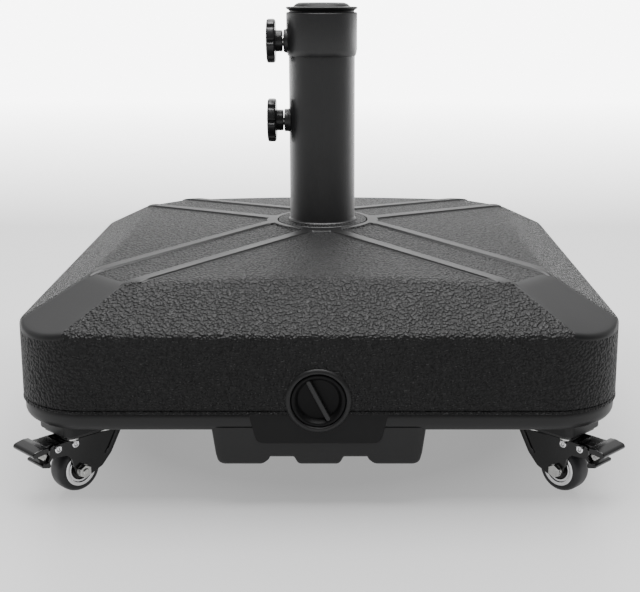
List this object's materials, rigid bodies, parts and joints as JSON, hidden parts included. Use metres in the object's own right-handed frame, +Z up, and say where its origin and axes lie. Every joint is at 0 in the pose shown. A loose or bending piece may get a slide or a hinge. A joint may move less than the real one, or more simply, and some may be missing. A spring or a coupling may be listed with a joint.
{
  "type": "parasol base",
  "caption": "Square water- or sand-filled parasol base with a ribbed hip roof, a central clamp tube, a side filler cap and braked swivel castors under its corners.",
  "frame": {"origin": "on the floor, under the middle of the tank", "axes": "+Z up along the pole; -Y is the front with the filler cap; the clamp knobs point to -X"},
  "size_m": [0.5052, 0.5052, 0.3984],
  "materials": {
    "moulded_tank": "black polyethylene, leather-grain panels with smooth ribs and rim",
    "powder_coat": "fine-textured black powder coat",
    "zinc_steel": "zinc-plated steel",
    "chrome_steel": "bright chrome",
    "castor_enamel": "glossy black electro-coat",
    "cap_plastic": "black moulded plastic, satin",
    "reducer_plastic": "black moulded plastic, satin",
    "knob_plastic": "black moulded plastic, semi-gloss",
    "hub_plastic": "black nylon",
    "seal_rubber": "black rubber",
    "tyre": "black polyurethane tread"
  },
  "bodies": {
    "tank": {"tank_upper": "moulded_tank", "tank_lower": "moulded_tank", "filler_spout": "moulded_tank", "tube_socket": "moulded_tank", "tank_keels": "moulded_tank", "stand_tube": "powder_coat", "tube_flange": "powder_coat", "tube_collar": "powder_coat", "knob_bosses": "powder_coat", "tube_anchor": "powder_coat", "tie_bolt": "zinc_steel", "tie_washer": "zinc_steel", "castor_plates": "castor_enamel", "swivel_races": "castor_enamel", "plate_screws": "zinc_steel"},
    "cap_seal": {"filler_gasket": "seal_rubber"},
    "cap": {"filler_cap": "cap_plastic", "cap_rim": "cap_plastic", "cap_bar": "cap_plastic"},
    "reducer": {"pole_reducer": "reducer_plastic"},
    "upper_stud": {"stud_upper": "zinc_steel"},
    "upper_knob": {"knob_upper": "knob_plastic"},
    "lower_stud": {"stud_lower": "zinc_steel"},
    "lower_knob": {"knob_lower": "knob_plastic"},
    "castor_front_left": {"fork_front_left": "castor_enamel", "fork_rivets_front_left": "chrome_steel", "kingpin_front_left": "zinc_steel", "axle_bolt_front_left": "zinc_steel"},
    "wheel_front_left": {"wheel_hub_front_left": "hub_plastic", "wheel_rings_front_left": "chrome_steel", "tyre_front_left": "tyre"},
    "pedal_front_left": {"brake_pedal_front_left": "castor_enamel"},
    "shoe_front_left": {"brake_shoe_front_left": "castor_enamel"},
    "castor_front_right": {"fork_front_right": "castor_enamel", "fork_rivets_front_right": "chrome_steel", "kingpin_front_right": "zinc_steel", "axle_bolt_front_right": "zinc_steel"},
    "wheel_front_right": {"wheel_hub_front_right": "hub_plastic", "wheel_rings_front_right": "chrome_steel", "tyre_front_right": "tyre"},
    "pedal_front_right": {"brake_pedal_front_right": "castor_enamel"},
    "shoe_front_right": {"brake_shoe_front_right": "castor_enamel"},
    "castor_back_right": {"fork_back_right": "castor_enamel", "fork_rivets_back_right": "chrome_steel", "kingpin_back_right": "zinc_steel", "axle_bolt_back_right": "zinc_steel"},
    "wheel_back_right": {"wheel_hub_back_right": "hub_plastic", "wheel_rings_back_right": "chrome_steel", "tyre_back_right": "tyre"},
    "pedal_back_right": {"brake_pedal_back_right": "castor_enamel"},
    "shoe_back_right": {"brake_shoe_back_right": "castor_enamel"},
    "castor_back_left": {"fork_back_left": "castor_enamel", "fork_rivets_back_left": "chrome_steel", "kingpin_back_left": "zinc_steel", "axle_bolt_back_left": "zinc_steel"},
    "wheel_back_left": {"wheel_hub_back_left": "hub_plastic", "wheel_rings_back_left": "chrome_steel", "tyre_back_left": "tyre"},
    "pedal_back_left": {"brake_pedal_back_left": "castor_enamel"},
    "shoe_back_left": {"brake_shoe_back_left": "castor_enamel"}
  },
  "joints": [
    {"name": "cap_pull", "type": "slide", "parent": "tank", "child": "cap_seal", "axis": [0, -1, 0], "range_m": [0, 0.1]},
    {"name": "cap_turn", "type": "hinge", "parent": "cap_seal", "child": "cap", "pos_m": [0, -0.2471, 0.094], "axis": [0, -1, 0], "continuous": true},
    {"name": "reducer_lift", "type": "slide", "parent": "tank", "child": "reducer", "axis": [0, 0, 1], "range_m": [0, 0.1]},
    {"name": "upper_stud_travel", "type": "slide", "parent": "tank", "child": "upper_stud", "axis": [-1, 0, 0], "range_m": [-0.0008, 0.0031]},
    {"name": "upper_knob_turn", "type": "hinge", "parent": "upper_stud", "child": "upper_knob", "pos_m": [-0.0437, 0, 0.3633], "axis": [-1, 0, 0], "range_deg": [-180, 720]},
    {"name": "lower_stud_travel", "type": "slide", "parent": "tank", "child": "lower_stud", "axis": [-1, 0, 0], "range_m": [-0.0008, 0.0031]},
    {"name": "lower_knob_turn", "type": "hinge", "parent": "lower_stud", "child": "lower_knob", "pos_m": [-0.0437, 0, 0.2889], "axis": [-1, 0, 0], "range_deg": [-180, 720]},
    {"name": "swivel_front_left", "type": "hinge", "parent": "tank", "child": "castor_front_left", "pos_m": [-0.18809, -0.18809, 0.0515], "axis": [0, 0, 1], "continuous": true},
    {"name": "roll_front_left", "type": "hinge", "parent": "castor_front_left", "child": "wheel_front_left", "pos_m": [-0.20754, -0.20754, 0.02], "axis": [0.7071, -0.7071, 0], "continuous": true},
    {"name": "pedal_hinge_front_left", "type": "hinge", "parent": "castor_front_left", "child": "pedal_front_left", "pos_m": [-0.22345, -0.22345, 0.0455], "axis": [-0.7071, 0.7071, 0], "range_deg": [0, 24]},
    {"name": "shoe_hinge_front_left", "type": "hinge", "parent": "castor_front_left", "child": "shoe_front_left", "pos_m": [-0.21178, -0.21178, 0.0455], "axis": [0.7071, -0.7071, 0], "range_deg": [0, 6]},
    {"name": "swivel_front_right", "type": "hinge", "parent": "tank", "child": "castor_front_right", "pos_m": [0.18809, -0.18809, 0.0515], "axis": [0, 0, 1], "continuous": true},
    {"name": "roll_front_right", "type": "hinge", "parent": "castor_front_right", "child": "wheel_front_right", "pos_m": [0.20754, -0.20754, 0.02], "axis": [0.7071, 0.7071, 0], "continuous": true},
    {"name": "pedal_hinge_front_right", "type": "hinge", "parent": "castor_front_right", "child": "pedal_front_right", "pos_m": [0.22345, -0.22345, 0.0455], "axis": [-0.7071, -0.7071, 0], "range_deg": [0, 24]},
    {"name": "shoe_hinge_front_right", "type": "hinge", "parent": "castor_front_right", "child": "shoe_front_right", "pos_m": [0.21178, -0.21178, 0.0455], "axis": [0.7071, 0.7071, 0], "range_deg": [0, 6]},
    {"name": "swivel_back_right", "type": "hinge", "parent": "tank", "child": "castor_back_right", "pos_m": [0.18809, 0.18809, 0.0515], "axis": [0, 0, 1], "continuous": true},
    {"name": "roll_back_right", "type": "hinge", "parent": "castor_back_right", "child": "wheel_back_right", "pos_m": [0.20754, 0.20754, 0.02], "axis": [-0.7071, 0.7071, 0], "continuous": true},
    {"name": "pedal_hinge_back_right", "type": "hinge", "parent": "castor_back_right", "child": "pedal_back_right", "pos_m": [0.22345, 0.22345, 0.0455], "axis": [0.7071, -0.7071, 0], "range_deg": [0, 24]},
    {"name": "shoe_hinge_back_right", "type": "hinge", "parent": "castor_back_right", "child": "shoe_back_right", "pos_m": [0.21178, 0.21178, 0.0455], "axis": [-0.7071, 0.7071, 0], "range_deg": [0, 6]},
    {"name": "swivel_back_left", "type": "hinge", "parent": "tank", "child": "castor_back_left", "pos_m": [-0.18809, 0.18809, 0.0515], "axis": [0, 0, 1], "continuous": true},
    {"name": "roll_back_left", "type": "hinge", "parent": "castor_back_left", "child": "wheel_back_left", "pos_m": [-0.20754, 0.20754, 0.02], "axis": [-0.7071, -0.7071, 0], "continuous": true},
    {"name": "pedal_hinge_back_left", "type": "hinge", "parent": "castor_back_left", "child": "pedal_back_left", "pos_m": [-0.22345, 0.22345, 0.0455], "axis": [0.7071, 0.7071, 0], "range_deg": [0, 24]},
    {"name": "shoe_hinge_back_left", "type": "hinge", "parent": "castor_back_left", "child": "shoe_back_left", "pos_m": [-0.21178, 0.21178, 0.0455], "axis": [-0.7071, -0.7071, 0], "range_deg": [0, 6]}
  ],
  "couplings": [
    {"joint": "upper_stud_travel", "follows": "upper_knob_turn", "m_per_rad": 0.00023873},
    {"joint": "lower_stud_travel", "follows": "lower_knob_turn", "m_per_rad": 0.00023873},
    {"joint": "shoe_hinge_front_left", "follows": "pedal_hinge_front_left", "ratio": 0.25},
    {"joint": "shoe_hinge_front_right", "follows": "pedal_hinge_front_right", "ratio": 0.25},
    {"joint": "shoe_hinge_back_right", "follows": "pedal_hinge_back_right", "ratio": 0.25},
    {"joint": "shoe_hinge_back_left", "follows": "pedal_hinge_back_left", "ratio": 0.25}
  ]
}
